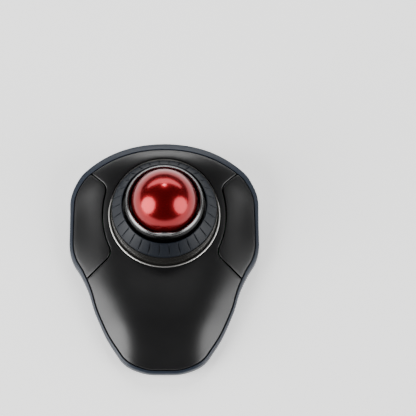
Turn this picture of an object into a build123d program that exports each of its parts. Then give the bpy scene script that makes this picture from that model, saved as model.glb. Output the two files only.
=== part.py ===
"""Trackball mouse with a scroll ring round the ball.

Frame: +Z up, +Y towards the far side (away from the user's wrist), +X to the user's right.
The origin is the centre of the footprint, on the surface that the rubber feet stand on.
Every node is written to parts/NODE.step, in millimetres.
"""
from build123d import *
from math import atan2, cos, degrees, exp, hypot, radians, sin
import os

# ---------------------------------------------------------------- driving dimensions (mm)
BALL_D = 40.0
BALL_Y, BALL_Z = 28.0, 38.0            # the ball's centre; the ring and socket share its vertical axis
HALF_WIDTH = 57.2                      # widest point of the housing, at the buttons
REAR_Y, FRONT_Y = 71.75, -71.75
REAR_RADIUS = 80.1                     # plan radius of the far edge

FOOT_Z = 0.6                           # underside of the base shell, above the feet's soles
FLOOR = 2.0                            # base floor thickness
FLOOR_Z = FOOT_Z + FLOOR
RIM = 2.5                              # width of the base's rim round the top cover
SEAM = 0.45                            # clearance between rim and cover
SKIN = 1.8                             # moulded wall of cover and buttons
COVER_FOOT_Z = 5.0                     # lower edge of the cover's and buttons' side walls
BUTTON_GAP = 0.7                       # visible line between a button and the cover

RING_TOP = (25.9, 34.9)                # upper edge of the ribbed cone, as radius and height
RING_EDGE = (31.5, 27.3)               # its lower edge
RING_GROOVES = 30
RING_TEETH = 40                        # castellations that the encoder reads
SKIRT_IN, SKIRT_OUT = 27.3, 28.7
SKIRT_FOOT_Z = 19.5

PEDESTAL_TOP_Z, PEDESTAL_FOOT_Z = 25.8, 17.0
PEDESTAL_TOP_R = 31.9
PEDESTAL_FOOT = (32.8, 33.4)           # half axes of its oval foot
PEDESTAL_LEAN = 1.0                    # how far the foot is set towards the user
HOLE_CLEARANCE = 0.3
TRIM, TRIM_RISE = 0.5, 0.25            # wall of the bright liner, and its lip above the skin

COLLAR_IN, COLLAR_OUT = 21.4, 24.4
SOCKET_R, SOCKET_WALL = 20.8, 1.8
SEAT_Z = 29.6                          # where the socket's flange sits on the pedestal

PCB_Z, PCB_T = 4.6, 1.6
CELL_D, CELL_L = 14.5, 49.5            # AA cells
CELL_Z = FOOT_Z + 1.3 + 0.15 + CELL_D / 2
CELL_Y = (-14.6, -29.8)
BAY = (27.4, -38.0, -6.6)              # half width, front and rear edge of the battery bay
DOOR_T = 1.3
DOOR_GAP = 0.35

HINGE_Y, HINGE_Z = 1.0, 9.0            # axis of the two main buttons
SWITCH_X, SWITCH_Y = 44.0, 36.0        # the main buttons' microswitches
CASE_SCREWS = [(27.0, 56.5), (34.0, -10.0), (21.0, -49.0)]   # mirrored to the left
CASE_BOSS_Z = 7.0                      # where the base's bosses meet the cover's
RING_POSTS = [(sx * 15.91, BALL_Y + sy * 15.91) for sx in (-1, 1) for sy in (-1, 1)]
PCB_POSTS = [(42.0, 9.0), (42.0, 43.0)]                      # mirrored to the left
BEARING = (25.75, 27.2)                # radii of the wall that the scroll ring turns on
BEARING_ANGLES, BEARING_DIP, SENSOR_DIP = (90, 210, 330), -40, -60
PLUNGER_TOP = 13.3
FOOT_ROUND = 2.4                       # rounding of the base's lower edge
RIM_DROP = 0.15                        # the rim lies this far below the cover's skin
WELL_X, WELL_Y = 10.0, (-58.0, -44.0)  # pocket for the radio receiver
DOOR_X, DOOR_Y = 28.6, (-39.6, -5.4)
DOOR_Z = FOOT_Z + 0.1
CELL_PLUS = {CELL_Y[0]: 1, CELL_Y[1]: -1}                    # which way each raised end points
FEET = [(-44, 20, 6, 22), (44, 20, 6, 22), (0, 64, 24, 6), (-12, -62.7, 14, 6), (12, -62.7, 14, 6)]
MODE_X, DPI_X, CONTROL_Y, PAIR_Y = -14.0, 14.0, 28.0, 36.5   # controls on the underside

# Right-hand edge of the housing's plan, from the far corner round to the middle of the near edge.
SIDE = [(54.6, 46.6), (HALF_WIDTH, 24.0), (55.7, 2.5), (50.2, -7.8), (47.2, -15.0), (41.6, -33.0),
        (31.9, -53.8), (22.6, -66.2), (12.0, -70.9), (0, FRONT_Y)]

# Stations of the outer skin along Y: place, ridge height, half width, height at the side edge.
STATIONS = [
    (-84.0, -6.0, 26.0, 3.0),
    (-72.0, 6.2, 27.0, 5.5),
    (-60.0, 12.8, 31.0, 6.8),
    (-44.0, 18.2, 38.0, 7.4),
    (-28.0, 20.4, 44.5, 7.8),
    (-7.0, 19.3, 53.0, 8.6),
    (12.0, 20.2, 57.5, 10.2),
    (36.0, 23.8, 58.5, 13.0),
    (60.0, 27.0, 58.0, 18.0),
    (84.0, 28.0, 58.0, 19.0),
]
SHOULDER = 4.2                         # power of the side fall-off: higher is a flatter back
ROLL_START, ROLL_DROP = 66.0, 6.2      # the far edge rolls down outside this radius
DISH_DEPTH, DISH_X, DISH_Y = 2.2, 46.5, 22.0
DISH_SPREAD = (8.0, 23.0)


# ---------------------------------------------------------------- outer skin
def along(y, column):
    """One column of STATIONS at y, by a smooth cubic through the stations."""
    rows = STATIONS
    k = max(1, min(len(rows) - 3, sum(r[0] <= y for r in rows) - 1))
    y0, y1, y2, y3 = (rows[i][0] for i in range(k - 1, k + 3))
    v0, v1, v2, v3 = (rows[i][column] for i in range(k - 1, k + 3))
    span = y2 - y1
    t = (y - y1) / span
    m1 = (v2 - v0) / (y2 - y0) * span
    m2 = (v3 - v1) / (y3 - y1) * span
    return (
        (2 * t**3 - 3 * t**2 + 1) * v1
        + (t**3 - 2 * t**2 + t) * m1
        + (3 * t**2 - 2 * t**3) * v2
        + (t**3 - t**2) * m2
    )


def skin_height(x, y):
    """Height of the outer skin: a ridge that falls to the sides, rolls down at the far edge
    and is dished where the fingers lie on the buttons."""
    ridge, half_width, edge = (along(y, c) for c in (1, 2, 3))
    side = (abs(x) / half_width) ** SHOULDER
    fall = (ridge - edge) * 1.6 * side / (1 + 0.6 * side)
    beyond = (hypot(x, y - (REAR_Y - REAR_RADIUS)) - ROLL_START) / (REAR_RADIUS - ROLL_START)
    beyond = max(0.0, beyond)
    roll = ROLL_DROP * (beyond**2 if beyond < 1.15 else 1.15 * (2 * beyond - 1.15))
    across, down = (abs(x) - DISH_X) / DISH_SPREAD[0], (y - DISH_Y) / DISH_SPREAD[1]
    return ridge - fall - roll - DISH_DEPTH * exp(-(across**2) - down**2)


def skin_surface():
    """The outer skin as one smooth face, wider than the housing."""
    xs = [4.0 * i for i in range(-15, 16)]
    ys = [4.0 * j for j in range(-19, 20)]
    grid = [[Vector(x, y, skin_height(x, y)) for y in ys] for x in xs]
    return Face.make_surface_from_array_of_points(grid, tol=0.02, min_deg=3, max_deg=3)


SURFACE = skin_surface()


def under_skin(depth=0.0):
    """Everything below the skin lowered by depth."""
    return extrude(Pos(0, 0, -depth) * SURFACE, amount=45, dir=(0, 0, -1))


# ---------------------------------------------------------------- plan outlines
def both_sides(shape):
    """A shape and its mirror image on the other side of the ball."""
    return shape + mirror(shape, Plane.YZ)


def biarc(start, end, leaving, arriving):
    """Two arcs from start to end, tangent to each other and to the two given directions."""
    chord, both = end - start, leaving + arriving
    slack = 2 * (1 - leaving.dot(arriving))
    reach = chord.dot(both)
    if slack > 1e-6:
        length = ((reach**2 + slack * chord.dot(chord)) ** 0.5 - reach) / slack
    else:
        length = chord.dot(chord) / (4 * chord.dot(arriving))
    middle = (start + leaving * length + end - arriving * length) / 2
    return [TangentArc(start, middle, tangent=leaving),
            TangentArc(end, middle, tangent=arriving * -1)]


def housing_outline():
    """Plan of the whole housing in tangent arcs: a wide arc at the far side, full flanks under
    the buttons, a waist below them and a tapering palm rest."""
    corner_x, centre_y = 47.6, REAR_Y - REAR_RADIUS
    corner_y = centre_y + (REAR_RADIUS**2 - corner_x**2) ** 0.5
    places = [Vector(corner_x, corner_y)] + [Vector(*place) for place in SIDE]
    ways = [Vector(corner_y - centre_y, -corner_x).normalized()]
    for i in range(1, len(places) - 1):
        before, after = places[i] - places[i - 1], places[i + 1] - places[i]
        mean = before / before.length**2 + after / after.length**2
        ways.append(mean.normalized())
    ways.append(Vector(-1, 0))
    side = Curve()
    for i in range(len(places) - 1):
        side += biarc(places[i], places[i + 1], ways[i], ways[i + 1])
    rear = ThreePointArc((-corner_x, corner_y), (0, REAR_Y), (corner_x, corner_y))
    return make_face(Curve() + [rear, *side.edges(), *mirror(side, Plane.YZ).edges()])


OUTLINE = housing_outline()


def inset(amount):
    """The housing's plan, moved inwards."""
    return offset(OUTLINE, -amount)


def button_window(grow=0.0):
    """Plan of the right-hand button's window, open to the outside; grow moves its edge."""
    upper, lower = (34.0, 43.9), (30.4, 1.9)
    outside = HALF_WIDTH + 12
    edge = Curve() + [
        Line((60.0, 69.2), upper),
        ThreePointArc(upper, (36.9, 25.0), lower),
        Line(lower, (60.0, -22.6)),
        Polyline((60.0, -22.6), (outside, -22.6), (outside, 69.2), (60.0, 69.2)),
    ]
    window = make_face(edge)
    corners = [v for v in window.vertices() if v.X < 40]
    window = fillet(corners, 3.2)
    return offset(window, grow) if grow else window


def prism(sketch, low, high):
    """A plan sketch extruded between two heights."""
    return extrude(Pos(0, 0, low) * sketch, amount=high - low)


def turned(*points):
    """Revolves an outline of (radius, height) points about the ball's vertical axis."""
    return Pos(0, BALL_Y, 0) * revolve(Plane.XZ * make_face(Polyline(*points, close=True)), Axis.Z)


def post(x, y, radius, low, high):
    """A round post standing at (x, y)."""
    return Pos(x, y, (low + high) / 2) * Cylinder(radius, high - low)


def block(x0, x1, y0, y1, z0, z1):
    """A block between two corners."""
    return Pos((x0 + x1) / 2, (y0 + y1) / 2, (z0 + z1) / 2) * Box(x1 - x0, y1 - y0, z1 - z0)


def ring_place(angle, radius):
    """A point in plan at an angle round the ball, counted from +X."""
    return radius * cos(radians(angle)), BALL_Y + radius * sin(radians(angle))


def top_blank():
    """Cover and buttons as one moulded skin, before the buttons are parted from it."""
    outside = prism(inset(RIM + SEAM), COVER_FOOT_Z, 45) & under_skin()
    inside = prism(inset(RIM + SEAM + SKIN), 0, 45) & under_skin(SKIN)
    return outside - inside


# ---------------------------------------------------------------- housing
def base_shell():
    """The slate tub: rim band, floor, battery bay, receiver well, posts and recesses."""
    tub = prism(OUTLINE, FOOT_Z, 45)
    tub = fillet(tub.edges().group_by(Axis.Z)[0], FOOT_ROUND) & under_skin(RIM_DROP)
    tub -= prism(inset(RIM), FLOOR_Z, 45)
    half, near, far = BAY
    walls = block(-half - 1.4, half + 1.4, near - 1.4, far + 1.4, FLOOR_Z, 12.0)
    walls += block(-WELL_X - 1.2, WELL_X + 1.2, WELL_Y[0] - 1.2, WELL_Y[1] + 1.2, FLOOR_Z, 8.2)
    for x, y in CASE_SCREWS:
        walls += both_sides(post(x, y, 3.4, FLOOR_Z, CASE_BOSS_Z))
    for x, y in RING_POSTS:
        walls += post(x, y, 2.6, FLOOR_Z, PEDESTAL_FOOT_Z)
    for x, y in PCB_POSTS:
        walls += both_sides(post(x, y, 2.4, FLOOR_Z, PCB_Z))
    walls += both_sides(post(7.0, 59.6, 1.6, FLOOR_Z, 14.6))
    hinge_post = block(38.0, 42.8, HINGE_Y - 2.5, HINGE_Y + 2.5, FLOOR_Z, HINGE_Z + 2.2)
    walls += both_sides(hinge_post)
    tub += walls
    tub -= block(-half, half, near, far, -1, 13)
    tub -= block(-DOOR_X - DOOR_GAP, DOOR_X + DOOR_GAP, DOOR_Y[0] - DOOR_GAP,
                 DOOR_Y[1] + DOOR_GAP, -1, DOOR_Z + DOOR_T + 0.1)
    sockets = Cylinder(0.57, 2.2, rotation=(0, 90, 0))
    tub -= both_sides(Pos(DOOR_X + 0.9, DOOR_Y[0] + 0.65, DOOR_Z + 0.65) * sockets)
    tub -= block(-WELL_X, WELL_X, *WELL_Y, -1, 7.0)
    for x, y in CASE_SCREWS:
        tub -= both_sides(post(x, y, 1.4, -1, 8) + post(x, y, 2.6, -1, FOOT_Z + 2.9))
    for x, y in RING_POSTS:
        tub -= post(x, y, 1.15, 7.6, 18)
    tub -= both_sides(Pos(40.4, HINGE_Y, HINGE_Z) * Cylinder(1.0, 6, rotation=(0, 90, 0)))
    for x, y, length, width in FEET:
        tub -= prism(foot_plan(x, y, length, width), -1, FOOT_Z + 0.4)
    tub -= prism(Pos(MODE_X, CONTROL_Y) * SlotOverall(8.0, 3.2), -1, 4)
    tub -= post(DPI_X, CONTROL_Y, 3.45, -1, 4) + post(DPI_X, PAIR_Y, 2.45, -1, 4)
    return tub


def foot_plan(x, y, length, width):
    """A stadium, long way along X or Y."""
    if length > width:
        return Pos(x, y) * SlotOverall(length, width)
    return Pos(x, y) * SlotOverall(width, length, rotation=90)


def ring_hole(grow=0.0):
    """Plan of the opening round the ring's pedestal."""
    across, down = (half + HOLE_CLEARANCE + grow for half in PEDESTAL_FOOT)
    return Pos(0, BALL_Y - PEDESTAL_LEAN) * Ellipse(across, down)


def trim_ring():
    """Bright liner of the cover's hole; its lip stands just proud of the skin all round."""
    tube = prism(ring_hole(TRIM), 0, 45) - prism(ring_hole(), 0, 45)
    return (tube & under_skin(-TRIM_RISE)) - under_skin(SKIN)


def top_cover(blank):
    """Palm rest and bridge: the blank without its buttons and its ring hole."""
    cover = blank - both_sides(prism(button_window(), 0, 45))
    cover -= prism(ring_hole(TRIM), 0, 45)
    bosses = [both_sides(post(x, y, 3.0, CASE_BOSS_Z, 30)) for x, y in CASE_SCREWS]
    for boss in bosses:
        cover += boss & under_skin(SKIN / 2)
    for x, y in CASE_SCREWS:
        cover -= both_sides(post(x, y, 1.05, 0, 14 if y > -40 else 11))
    return cover


def button(blank):
    """The right-hand button: skin panel, hinge ears and the actuator over its switch."""
    panel = blank & prism(button_window(-BUTTON_GAP), 0, 45)
    ears = block(35.4, 37.2, HINGE_Y - 2.2, HINGE_Y + 2.2, HINGE_Z - 2.2, 30)
    ears += block(43.6, 45.4, HINGE_Y - 2.2, HINGE_Y + 2.2, HINGE_Z - 2.2, 30)
    ears += post(SWITCH_X, SWITCH_Y, 1.6, PLUNGER_TOP + 0.1, 30)
    panel += ears & under_skin(SKIN / 2)
    bore = Cylinder(1.05, 12, rotation=(0, 90, 0))
    return panel - Pos(40.4, HINGE_Y, HINGE_Z) * bore


# ---------------------------------------------------------------- ring and ball
def scroll_ring():
    """Grooved cone with a skirt, a retaining flange and slots for the encoder."""
    ring = turned(
        (RING_TOP[0] - 0.6, 31.7), (RING_TOP[0] - 0.6, 34.3), RING_TOP, RING_EDGE, (31.7, 26.7),
        (31.5, 26.1), (29.6, 26.1), (SKIRT_OUT, 27.0), (SKIRT_OUT, 24.3), (29.7, 24.3),
        (29.7, 23.2), (SKIRT_OUT, 23.2), (SKIRT_OUT, SKIRT_FOOT_Z), (SKIRT_IN, SKIRT_FOOT_Z),
        (SKIRT_IN, 29.9),
    )
    run, rise = RING_EDGE[0] - RING_TOP[0], RING_TOP[1] - RING_EDGE[1]
    lean = degrees(atan2(rise, run))
    groove = Cylinder(0.55, hypot(run, rise) * 0.8, rotation=(0, 90 + lean, 0))
    middle = ((RING_TOP[0] + RING_EDGE[0]) / 2, (RING_TOP[1] + RING_EDGE[1]) / 2)
    groove = Pos(middle[0] + 0.1, 0, middle[1] + 0.1) * groove
    slot = Pos(28.0, 0, SKIRT_FOOT_Z) * Box(3.0, 2.2, 2.4)
    cuts = [Rot(0, 0, 360 / RING_GROOVES * (i + 0.5)) * groove for i in range(RING_GROOVES)]
    cuts += [Rot(0, 0, 360 / RING_TEETH * i) * slot for i in range(RING_TEETH)]
    return ring - [Pos(0, BALL_Y, 0) * c for c in cuts]


def ring_pedestal():
    """Dark stand that carries the ring's bearing wall, the ball's socket and the retainer."""
    top = Pos(0, BALL_Y, PEDESTAL_TOP_Z) * Circle(PEDESTAL_TOP_R)
    foot = Pos(0, BALL_Y - PEDESTAL_LEAN, PEDESTAL_FOOT_Z) * Ellipse(*PEDESTAL_FOOT)
    stand = loft([foot, top])
    stand -= post(0, BALL_Y, 30.4, PEDESTAL_FOOT_Z + 1.5, 40)
    stand -= post(0, BALL_Y, BEARING[0], 0, 40)
    stand += turned((BEARING[0], PEDESTAL_FOOT_Z), (BEARING[1], PEDESTAL_FOOT_Z),
                    (BEARING[1], SEAT_Z), (23.0, SEAT_Z), (23.0, SEAT_Z - 1.5),
                    (BEARING[0], SEAT_Z - 1.5))
    for x, y in RING_POSTS:
        ear = post(x, y, 3.2, PEDESTAL_FOOT_Z, PEDESTAL_FOOT_Z + 2.0)
        away = Pos(x * 1.14, BALL_Y + (y - BALL_Y) * 1.14, PEDESTAL_FOOT_Z + 1)
        ear += away * Rot(0, 0, degrees(atan2(y - BALL_Y, x))) * Box(4.4, 5.2, 2.0)
        ear &= post(0, BALL_Y, BEARING[0] + 0.6, 0, 40)
        stand += ear - post(x, y, 1.2, 0, 40)
    return stand - block(-3.3, 3.3, 54.4, 57.6, 10, PEDESTAL_FOOT_Z + 2)


def ring_retainer():
    """Snap ring above the scroll ring's flange."""
    return turned((28.95, 24.6), (30.4, 24.6), (30.4, 25.6), (28.95, 25.6))


def ball_collar():
    """Bright collar round the ball, with a raised tab on the user's side."""
    low = SEAT_Z + 1.5
    rounded = [(COLLAR_OUT, 37.3), (24.1, 38.9), (23.3, 40.1), (22.1, 40.75), (COLLAR_IN, 40.25)]
    collar = turned((20.95, low), (COLLAR_OUT, low), *rounded, (20.95, 38.6))
    tab = turned((21.1, 39.4), (23.7, 39.2), (22.9, 42.4), (22.0, 43.2), (21.2, 42.7))
    wedge = make_face(Polyline((0, 0), (12, -48), (-12, -48), close=True))
    return collar + (tab & prism(Pos(0, BALL_Y) * wedge, 30, 50))


def socket_spot(azimuth, elevation, radius):
    """A place on the socket, with its local +Z pointing away from the ball's centre."""
    turn = Pos(0, BALL_Y, BALL_Z) * Rot(0, 0, azimuth) * Rot(0, 90 - elevation, 0)
    return turn * Pos(0, 0, radius)


def ball_socket():
    """Bowl under the ball, with a flange on the pedestal and seats for three bearings."""
    centre = Pos(0, BALL_Y, BALL_Z)
    low, high = SEAT_Z, SEAT_Z + 1.5
    bowl = centre * Sphere(SOCKET_R + SOCKET_WALL) - block(-40, 40, -20, 70, high, 80)
    bowl += turned((19.5, low), (24.9, low), (24.9, high), (19.5, high))
    for azimuth in BEARING_ANGLES:
        bowl += socket_spot(azimuth, BEARING_DIP, 22.4) * Cylinder(2.6, 3.2)
    bowl -= centre * Sphere(SOCKET_R)
    for azimuth in BEARING_ANGLES:
        spot = socket_spot(azimuth, BEARING_DIP, BALL_D / 2 + 1.25 + 0.01)
        bowl -= spot * (Sphere(1.25) + Pos(0, 0, -1.25) * Cylinder(1.25, 2.5))
    return bowl - socket_spot(270, SENSOR_DIP, 21.5) * Cylinder(3.5, 6)


def socket_bearings():
    """Three small ceramic balls that the big ball rolls on."""
    return Compound(children=[
        socket_spot(azimuth, BEARING_DIP, BALL_D / 2 + 1.25 + 0.01) * Sphere(1.24)
        for azimuth in BEARING_ANGLES
    ])


# ---------------------------------------------------------------- electronics
def main_pcb():
    """Main circuit board, pierced by the pedestal's posts."""
    plan = Pos(0, 25.5) * RectangleRounded(94, 43, 6)
    board = prism(plan, PCB_Z, PCB_Z + PCB_T)
    for x, y in RING_POSTS:
        board -= post(x, y, 2.8, 0, 10)
    return board


def pcb_components():
    """Chips, a crystal and the power parts on the main board."""
    top = PCB_Z + PCB_T
    chips = [block(-5, 5, 28, 38, top, top + 1.4), block(-12, -8, 31, 34, top, top + 1.0)]
    chips += [block(6.5, 9.5, 26, 34, top, top + 1.8), block(24, 32, 10, 16, top, top + 2.2)]
    chips += [block(-33, -25, 9, 15, top, top + 1.6), block(-34, -27, 30, 35, top, top + 3.0)]
    chips += [post(27, 33, 2.5, top, top + 4.5), post(33, 33, 2.5, top, top + 4.5)]
    return Compound(children=chips)


def microswitch():
    """Right-hand microswitch, with a bore for its plunger."""
    case = block(SWITCH_X - 2.9, SWITCH_X + 2.9, SWITCH_Y - 6.4, SWITCH_Y + 6.4,
                 PCB_Z + PCB_T, PLUNGER_TOP - 0.7)
    return case - post(SWITCH_X, SWITCH_Y, 0.95, PLUNGER_TOP - 3.2, 20)


def plunger():
    """The microswitch's plunger."""
    return post(SWITCH_X, SWITCH_Y, 0.9, PLUNGER_TOP - 2.4, PLUNGER_TOP)


def hinge_pins():
    """Steel pins of the right-hand button's hinge."""
    return Pos(40.4, HINGE_Y, HINGE_Z) * Cylinder(1.0, 10.4, rotation=(0, 90, 0))


# ---------------------------------------------------------------- power and underside
def battery(y, plus):
    """One cell lying along X, its raised end towards plus (1 or -1)."""
    can = Cylinder(CELL_D / 2, CELL_L - 1.2, rotation=(0, 90, 0))
    can = fillet(can.edges(), 0.6)
    nub = Pos(plus * (CELL_L / 2 - 0.6), 0, 0) * Cylinder(2.7, 1.2, rotation=(0, 90, 0))
    return Pos(0, y, CELL_Z) * (Pos(-plus * 0.6, 0, 0) * can + nub)


def battery_spring(y, side):
    """Spring coil that presses on a cell's flat end."""
    path = Helix(pitch=0.75, height=1.5, radius=3.4)
    coil = sweep(Plane(path @ 0, z_dir=path % 0) * Rectangle(0.5, 0.5), path=path)
    return Pos(side * (CELL_L / 2 + 0.35), y, CELL_Z) * Rot(0, side * 90, 0) * coil


def contact_plates():
    """Four metal plates on the bay's end walls, two with a bump for a raised end."""
    half = BAY[0]
    plates = []
    for y in CELL_Y:
        for side in (-1, 1):
            plate = Pos(side * (half - 0.2), y, 7.4) * Box(0.4, 11.0, 8.6)
            if side == CELL_PLUS[y]:
                inner = CELL_L / 2
                bump = Cylinder(2.0, half - 0.3 - inner, rotation=(0, 90, 0))
                plate += Pos(side * (half - 0.3 + inner) / 2, y, CELL_Z) * bump
            plates.append(plate)
    return Compound(children=plates)


def battery_door():
    """Door under the cells, on two trunnions at its edge towards the user."""
    low, high = DOOR_Z, DOOR_Z + DOOR_T
    door = block(-DOOR_X, DOOR_X, DOOR_Y[0] + 0.65, DOOR_Y[1], low, high)
    edge = Cylinder(DOOR_T / 2, 2 * DOOR_X, rotation=(0, 90, 0))
    pin = Cylinder(0.5, 2 * DOOR_X + 3.2, rotation=(0, 90, 0))
    door += Pos(0, DOOR_Y[0] + 0.65, low + 0.65) * (edge + pin)
    for i in range(5):
        door -= block(-6, 6, DOOR_Y[1] - 9 + 1.5 * i, DOOR_Y[1] - 8.4 + 1.5 * i, low - 1, low + 0.3)
    return door


def receiver_cap():
    """Plastic end of the radio receiver that is kept in the underside."""
    cap = block(-WELL_X + 0.3, -2.4, WELL_Y[0] + 0.4, WELL_Y[1] - 0.4, 0.9, 6.6)
    return fillet(cap.edges().filter_by(Axis.Z), 1.2)


def receiver_plug():
    """Metal shell of the receiver's plug, open at its end."""
    middle = sum(WELL_Y) / 2
    shell = block(-2.4, WELL_X - 0.3, middle - 6, middle + 6, 1.5, 6.0)
    return shell - block(1.0, WELL_X + 1, middle - 5.6, middle + 5.6, 3.6, 5.6)


def build():
    """Every node by name."""
    blank = top_blank()
    parts = {"base_shell": base_shell(), "top_cover": top_cover(blank)}
    right = {
        "right_button": button(blank),
        "right_hinge_pin": hinge_pins(),
        "right_microswitch": microswitch(),
        "right_plunger": plunger(),
    }
    for name, shape in right.items():
        parts[name] = shape
        parts[name.replace("right", "left")] = mirror(shape, Plane.YZ)
    parts["scroll_ring"] = scroll_ring()
    parts["ring_pedestal"] = ring_pedestal()
    parts["trim_ring"] = trim_ring()
    parts["ring_retainer"] = ring_retainer()
    parts["ball_collar"] = ball_collar()
    parts["ball_socket"] = ball_socket()
    parts["socket_bearings"] = socket_bearings()
    parts["ball"] = Pos(0, BALL_Y, BALL_Z) * Sphere(BALL_D / 2)
    parts["sensor_lens"] = socket_spot(270, SENSOR_DIP, 24.0) * Cylinder(3.2, 2.0)
    parts["sensor_chip"] = socket_spot(270, SENSOR_DIP, 26.1) * Box(9.0, 9.0, 2.0)
    parts["sensor_board"] = socket_spot(270, SENSOR_DIP, 27.7) * Box(14.0, 17.0, 1.0)
    parts["encoder_board"] = block(-11, 11, 53.0, 63.0, 14.6, 15.6)
    parts["encoder_sensor"] = block(-2.9, 2.9, 54.8, 57.2, 15.6, 18.9)
    parts["pedestal_screws"] = Compound(children=[
        post(x, y, 2.2, PEDESTAL_FOOT_Z + 2.0, PEDESTAL_FOOT_Z + 3.4)
        + post(x, y, 1.1, 8.0, PEDESTAL_FOOT_Z + 2.0)
        for x, y in RING_POSTS
    ])
    parts["main_pcb"] = main_pcb()
    parts["pcb_components"] = pcb_components()
    parts["mode_switch_body"] = block(MODE_X - 5, MODE_X + 5, CONTROL_Y - 2.4, CONTROL_Y + 2.4,
                                      3.1, PCB_Z)
    knob = prism(Pos(MODE_X, CONTROL_Y) * SlotOverall(3.6, 2.6), 0.9, 3.05)
    knob += block(MODE_X - 2.8, MODE_X + 2.8, CONTROL_Y - 2.2, CONTROL_Y + 2.2, 2.7, 3.05)
    parts["mode_switch_knob"] = knob - block(MODE_X - 0.25, MODE_X + 0.25, 20, 40, 0, 1.2)
    parts["dpi_button"] = (post(DPI_X, CONTROL_Y, 3.2, 0.9, 2.9)
                           + post(DPI_X, CONTROL_Y, 4.0, 2.75, 3.15))
    parts["pair_button"] = post(DPI_X, PAIR_Y, 2.2, 0.9, 2.9) + post(DPI_X, PAIR_Y, 3.0, 2.75, 3.15)
    parts["tact_switches"] = Compound(children=[
        block(DPI_X - 2.5, DPI_X + 2.5, y - 2.5, y + 2.5, 3.5, PCB_Z) for y in (CONTROL_Y, PAIR_Y)
    ])
    parts["battery_door"] = battery_door()
    for name, y in zip(("rear_battery", "front_battery"), CELL_Y):
        parts[name] = battery(y, CELL_PLUS[y])
    parts["battery_springs"] = Compound(children=[
        battery_spring(y, -CELL_PLUS[y]) for y in CELL_Y
    ])
    parts["contact_plates"] = contact_plates()
    parts["receiver_cap"] = receiver_cap()
    parts["receiver_plug"] = receiver_plug()
    parts["rubber_feet"] = Compound(children=[
        prism(foot_plan(x, y, length - 0.2, width - 0.2), 0, FOOT_Z + 0.4)
        for x, y, length, width in FEET
    ])
    screws = []
    for x, y in CASE_SCREWS:
        screw = post(x, y, 2.3, FOOT_Z + 1.5, FOOT_Z + 2.9)
        screw += post(x, y, 1.0, FOOT_Z + 2.9, 10.5)
        screw -= block(x - 1.4, x + 1.4, y - 0.35, y + 0.35, 0, FOOT_Z + 2.1)
        screw -= block(x - 0.35, x + 0.35, y - 1.4, y + 1.4, 0, FOOT_Z + 2.1)
        screws += [screw, mirror(screw, Plane.YZ)]
    parts["case_screws"] = Compound(children=screws)
    return parts


os.makedirs("parts", exist_ok=True)
for node, shape in build().items():
    export_step(shape, f"parts/{node}.step")
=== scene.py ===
"""Looks of a trackball mouse: smooth housing, grooved scroll ring, collar, ball and finishes.

Every size below is in millimetres and in the frame's own axes; meshes are written in metres.
"""

import math

import bmesh
import bpy
import numpy as np
from bpy.props import FloatProperty, FloatVectorProperty, IntProperty, PointerProperty
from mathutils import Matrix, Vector, geometry


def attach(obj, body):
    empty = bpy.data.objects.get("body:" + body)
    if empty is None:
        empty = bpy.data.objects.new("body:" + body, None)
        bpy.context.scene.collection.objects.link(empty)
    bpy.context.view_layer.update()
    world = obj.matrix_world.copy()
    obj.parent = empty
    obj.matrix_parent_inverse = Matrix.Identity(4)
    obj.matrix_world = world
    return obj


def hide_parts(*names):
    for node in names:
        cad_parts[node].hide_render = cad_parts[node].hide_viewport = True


bl_info = {
    "name": "Trackball mouse",
    "version": (1, 0, 0),
    "blender": (4, 5, 0),
    "location": "View3D > Sidebar > Trackball",
    "description": "Builds the visible pieces and finishes of a trackball mouse",
    "category": "Object",
}

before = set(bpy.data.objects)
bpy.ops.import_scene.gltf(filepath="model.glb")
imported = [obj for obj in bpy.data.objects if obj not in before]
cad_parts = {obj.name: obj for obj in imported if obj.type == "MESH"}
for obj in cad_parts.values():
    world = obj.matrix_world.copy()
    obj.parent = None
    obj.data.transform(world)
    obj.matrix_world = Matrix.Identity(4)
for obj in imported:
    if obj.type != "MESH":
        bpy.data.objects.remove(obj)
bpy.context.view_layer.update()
MM = 0.001

AXIS_Y, BALL_Z = 28.0, 38.0  # the ball's upright axis, and the height of its centre
SOLE_Z, RIM_DROP = 0.6, 0.15  # underside of the base, and the rim below the skin
REAR_Y, REAR_RADIUS, CORNER_X = 71.75, 80.1, 47.6  # the far edge's arc, and where it ends

# Right-hand edge of the housing's plan, from the far corner to the middle of the near edge.
SIDE = [(54.7, 46.5), (57.2, 24.0), (55.7, 2.5), (50.0, -8.1), (46.8, -15.2), (41.0, -33.2),
        (31.4, -53.6), (22.3, -65.4), (12.0, -69.8), (0.0, -70.6)]

# Width of the base's rim at places along Y.
RIM_WIDTHS = [(-90.0, 1.5), (-70.0, 1.5), (-50.0, 1.3), (-30.0, 1.2), (-12.0, 1.45), (2.0, 2.0),
              (24.0, 2.1), (46.0, 3.0), (60.0, 4.0), (72.0, 4.3), (90.0, 4.3)]

# Stations of the skin along Y, each with ridge height, half width and height of the edge.
STATIONS = [
    (-84.0, -6.0, 26.0, 3.0),
    (-72.0, 6.2, 27.0, 5.5),
    (-60.0, 12.8, 31.0, 6.8),
    (-44.0, 17.9, 38.0, 7.4),
    (-28.0, 19.7, 44.5, 7.8),
    (-7.0, 20.2, 53.0, 8.6),
    (12.0, 21.2, 57.5, 10.2),
    (36.0, 23.8, 58.5, 13.0),
    (60.0, 27.0, 58.0, 18.0),
    (84.0, 28.0, 58.0, 19.0),
]
SHOULDER = 4.2  # how squarely the skin turns down at its sides
ROLL_START, ROLL_DROP = 66.0, 2.6  # the far edge rolls down outside this radius
ROLL_LIMIT = 1.15  # share of the roll beyond which it runs straight
DISH_X, DISH_Y = (46.5, 8.0), (22.0, 23.0)  # middle and half width of a button's dish
FRAME_DISH = 2.2  # depth of the dishes in the frame

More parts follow.
